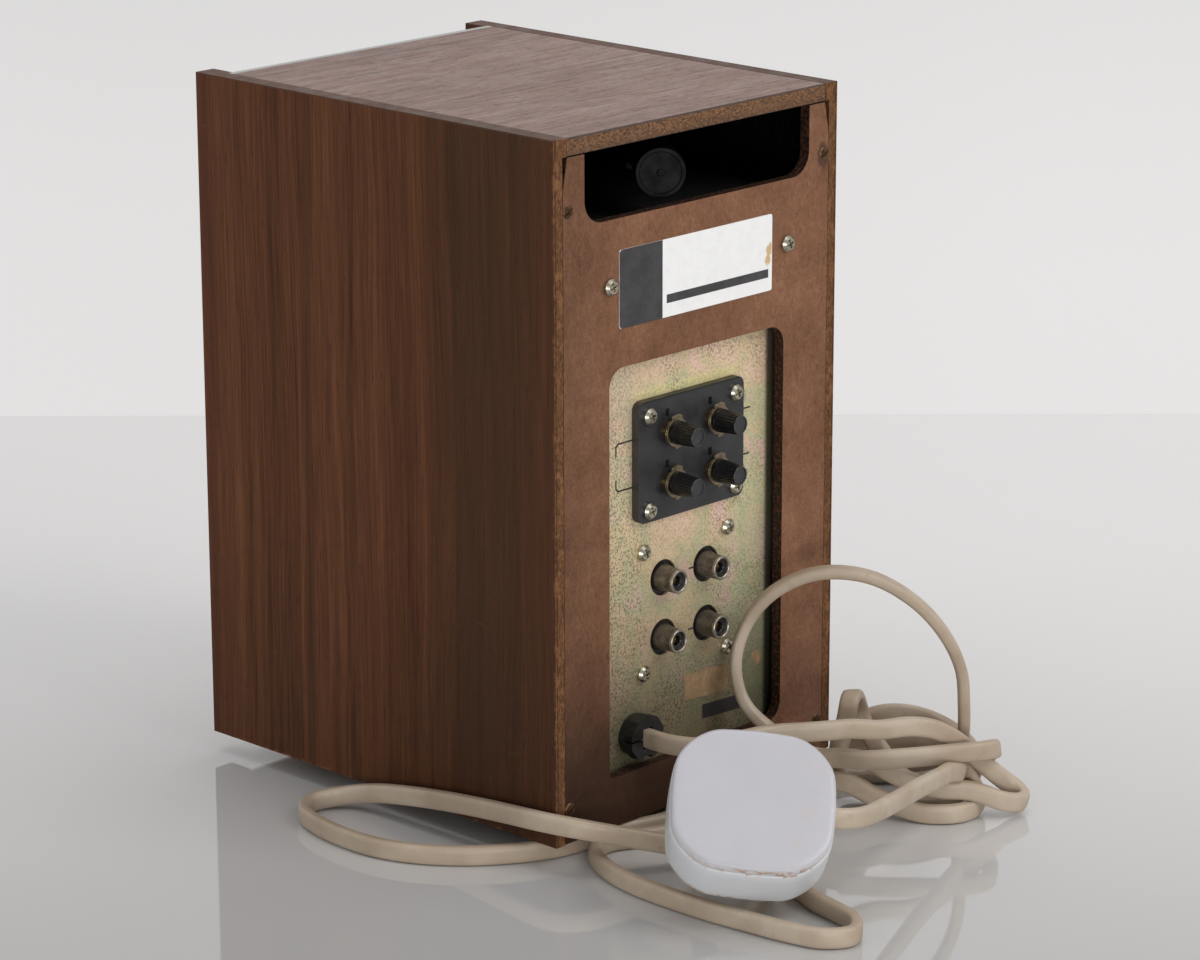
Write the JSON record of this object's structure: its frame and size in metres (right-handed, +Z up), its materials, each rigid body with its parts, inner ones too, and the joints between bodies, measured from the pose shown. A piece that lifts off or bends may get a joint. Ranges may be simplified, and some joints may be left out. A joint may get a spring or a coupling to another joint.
{
  "type": "stereo tuner",
  "caption": "Upright stereo tuner in a walnut-veneered cabinet: hardboard back, recessed connector plate, swing-out bar antenna, cord-driven dial and a captive mains lead with plug.",
  "frame": {"origin": "on the floor, under the middle of the cabinet with its knob and screw caps", "axes": "+X to the right as seen from the front, +Y to the rear, +Z up; the front faces -Y"},
  "size_m": [0.1985, 0.2935, 0.243],
  "materials": {
    "walnut_side": "satin",
    "walnut_top": "satin",
    "chipboard": "matt",
    "hardboard": "matt",
    "dull_screw": "dull",
    "foot_rubber": "matt",
    "bright_screw": "bright",
    "blank_label": "satin",
    "zinc_plate": "passivated zinc",
    "bay_black": "matt",
    "pivot_steel": "dull",
    "antenna_plastic": "matt",
    "ferrite": "matt",
    "terminal_plastic": "satin",
    "stud_brass": "dull",
    "washer_brass": "dull",
    "cap_plastic": "satin",
    "jack_resin": "matt",
    "jack_nickel": "dull nickel",
    "gland_plastic": "satin",
    "panel_aluminium": "brushed",
    "dial_clear": "clear",
    "dial_black": "matt",
    "lamp_glass": "frosted",
    "knob_aluminium": "turned",
    "drive_plastic": "matt",
    "vane_aluminium": "matt",
    "pointer_red": "gloss",
    "drive_cord": "matt",
    "switch_plastic": "matt",
    "lever_chrome": "polished",
    "board_resin": "satin",
    "can_aluminium": "satin",
    "transformer_iron": "varnished",
    "lead_pvc": "matt",
    "plug_white": "satin",
    "pin_brass": "satin"
  },
  "bodies": {
    "cabinet": {"right_side_panel": "walnut_side", "left_side_panel": "walnut_side", "top_board": "walnut_top", "bottom_board": "chipboard", "rear_board": "hardboard", "rear_board_screws": "dull_screw", "feet": "foot_rubber", "foot_screws": "bright_screw", "rating_label": "blank_label", "chassis_rear_plate": "zinc_plate", "chassis_tray": "zinc_plate", "machine_screws": "bright_screw", "antenna_shelf": "bay_black", "antenna_pivot": "pivot_steel", "terminal_board": "terminal_plastic", "terminal_studs": "stud_brass", "jack_board": "jack_resin", "phono_jack_shells": "jack_nickel", "phono_jack_inserts": "jack_resin", "cord_gland": "gland_plastic", "front_panel": "panel_aluminium", "dial_lens": "dial_clear", "dial_scale": "dial_black", "lamps": "lamp_glass", "capacitor_frame": "vane_aluminium", "dial_cord": "drive_cord", "selector_switch": "switch_plastic", "power_switch": "switch_plastic", "main_board": "board_resin", "if_cans": "can_aluminium", "transformer": "transformer_iron", "cord_lead": "lead_pvc", "cord_loop": "lead_pvc", "cord_run": "lead_pvc", "cord_tail": "lead_pvc", "cord_hank": "lead_pvc", "plug_base": "plug_white", "plug_cover": "plug_white", "plug_pins": "pin_brass"},
    "bar_antenna": {"antenna_arm": "antenna_plastic", "antenna_tube": "antenna_plastic", "antenna_cap": "antenna_plastic", "ferrite_rod": "ferrite"},
    "tuning": {"tuning_knob": "knob_aluminium", "tuning_spindle": "pivot_steel"},
    "drum": {"dial_drum": "drive_plastic", "capacitor_rotor": "vane_aluminium"},
    "pointer": {"dial_pointer": "pointer_red"},
    "left_pulley": {"pulley_left": "drive_plastic"},
    "right_pulley": {"pulley_right": "drive_plastic"},
    "selector": {"selector_knob": "knob_aluminium"},
    "power": {"power_lever": "lever_chrome"},
    "post_1_lift_body": {"post_1_washers": "washer_brass"},
    "post_1_cap_body": {"post_1_cap": "cap_plastic"},
    "post_2_lift_body": {"post_2_washers": "washer_brass"},
    "post_2_cap_body": {"post_2_cap": "cap_plastic"},
    "post_3_lift_body": {"post_3_washers": "washer_brass"},
    "post_3_cap_body": {"post_3_cap": "cap_plastic"},
    "post_4_lift_body": {"post_4_washers": "washer_brass"},
    "post_4_cap_body": {"post_4_cap": "cap_plastic"}
  },
  "joints": [
    {"name": "tuning_turn", "type": "hinge", "parent": "cabinet", "child": "tuning", "pos_m": [0, -0.075, 0.108], "axis": [0, 1, 0], "range_deg": [-600, 600]},
    {"name": "drum_turn", "type": "hinge", "parent": "cabinet", "child": "drum", "pos_m": [0, -0.06, 0.15], "axis": [0, 1, 0], "range_deg": [-90, 90]},
    {"name": "pointer_slide", "type": "slide", "parent": "cabinet", "child": "pointer", "axis": [1, 0, 0], "range_m": [-0.042, 0.042]},
    {"name": "pulley_left_turn", "type": "hinge", "parent": "cabinet", "child": "left_pulley", "pos_m": [-0.05, -0.0642, 0.228], "axis": [0, 1, 0], "range_deg": [-481, 481]},
    {"name": "pulley_right_turn", "type": "hinge", "parent": "cabinet", "child": "right_pulley", "pos_m": [0.05, -0.0642, 0.228], "axis": [0, 1, 0], "range_deg": [-481, 481]},
    {"name": "selector_turn", "type": "hinge", "parent": "cabinet", "child": "selector", "pos_m": [0.03, -0.075, 0.058], "axis": [0, 1, 0], "range_deg": [-30, 30]},
    {"name": "power_flip", "type": "hinge", "parent": "cabinet", "child": "power", "pos_m": [-0.03, -0.07, 0.058], "axis": [-1, 0, 0], "range_deg": [0, 24]},
    {"name": "antenna_swing", "type": "hinge", "parent": "cabinet", "child": "bar_antenna", "pos_m": [-0.048, 0.008, 0.2225], "axis": [0, 0, 1], "range_deg": [-48, 30]},
    {"name": "post_1_lift", "type": "slide", "parent": "cabinet", "child": "post_1_lift_body", "axis": [0, 1, 0], "range_m": [0, 0.0028]},
    {"name": "post_1_turn", "type": "hinge", "parent": "post_1_lift_body", "child": "post_1_cap_body", "pos_m": [0.0104, 0.089, 0.137], "axis": [0, 1, 0], "range_deg": [0, 1440]},
    {"name": "post_2_lift", "type": "slide", "parent": "cabinet", "child": "post_2_lift_body", "axis": [0, 1, 0], "range_m": [0, 0.0028]},
    {"name": "post_2_turn", "type": "hinge", "parent": "post_2_lift_body", "child": "post_2_cap_body", "pos_m": [-0.0104, 0.089, 0.137], "axis": [0, 1, 0], "range_deg": [0, 1440]},
    {"name": "post_3_lift", "type": "slide", "parent": "cabinet", "child": "post_3_lift_body", "axis": [0, 1, 0], "range_m": [0, 0.0028]},
    {"name": "post_3_turn", "type": "hinge", "parent": "post_3_lift_body", "child": "post_3_cap_body", "pos_m": [0.0104, 0.089, 0.1196], "axis": [0, 1, 0], "range_deg": [0, 1440]},
    {"name": "post_4_lift", "type": "slide", "parent": "cabinet", "child": "post_4_lift_body", "axis": [0, 1, 0], "range_m": [0, 0.0028]},
    {"name": "post_4_turn", "type": "hinge", "parent": "post_4_lift_body", "child": "post_4_cap_body", "pos_m": [-0.0104, 0.089, 0.1196], "axis": [0, 1, 0], "range_deg": [0, 1440]}
  ],
  "couplings": [
    {"joint": "drum_turn", "follows": "tuning_turn", "ratio": 0.14981},
    {"joint": "pointer_slide", "follows": "tuning_turn", "m_per_rad": 0.004},
    {"joint": "pulley_left_turn", "follows": "tuning_turn", "ratio": 0.8},
    {"joint": "pulley_right_turn", "follows": "tuning_turn", "ratio": 0.8},
    {"joint": "post_1_turn", "follows": "post_1_lift", "rad_per_m": 8976},
    {"joint": "post_2_turn", "follows": "post_2_lift", "rad_per_m": 8976},
    {"joint": "post_3_turn", "follows": "post_3_lift", "rad_per_m": 8976},
    {"joint": "post_4_turn", "follows": "post_4_lift", "rad_per_m": 8976}
  ]
}
